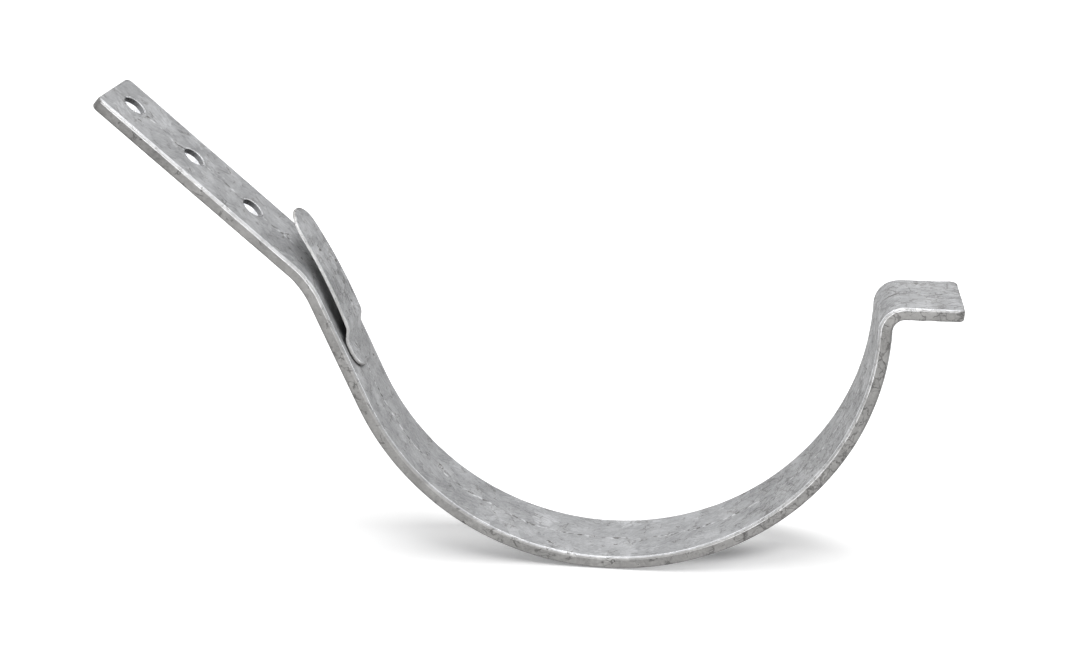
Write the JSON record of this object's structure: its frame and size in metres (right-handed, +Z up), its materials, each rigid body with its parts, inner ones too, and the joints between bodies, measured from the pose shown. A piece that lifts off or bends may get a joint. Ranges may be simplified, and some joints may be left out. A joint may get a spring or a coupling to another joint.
{
  "type": "gutter bracket",
  "caption": "Half-round gutter bracket bent from flat galvanised bar, with a drilled sloping rafter arm, a short front nose and a spring clip behind the seat.",
  "frame": {"origin": "centre of the half-round gutter seat, at the middle of the bar's width", "axes": "+X out from the building towards the nose, +Y along the gutter, +Z up"},
  "size_m": [0.2501, 0.025, 0.143],
  "materials": {
    "strap": "hot-dip galvanised, weathered to a dull mottled grey",
    "spring_clip": "galvanised sheet, dull grey"
  },
  "bodies": {
    "root": {"strap": "strap", "spring_clip": "spring_clip"}
  },
  "joints": []
}
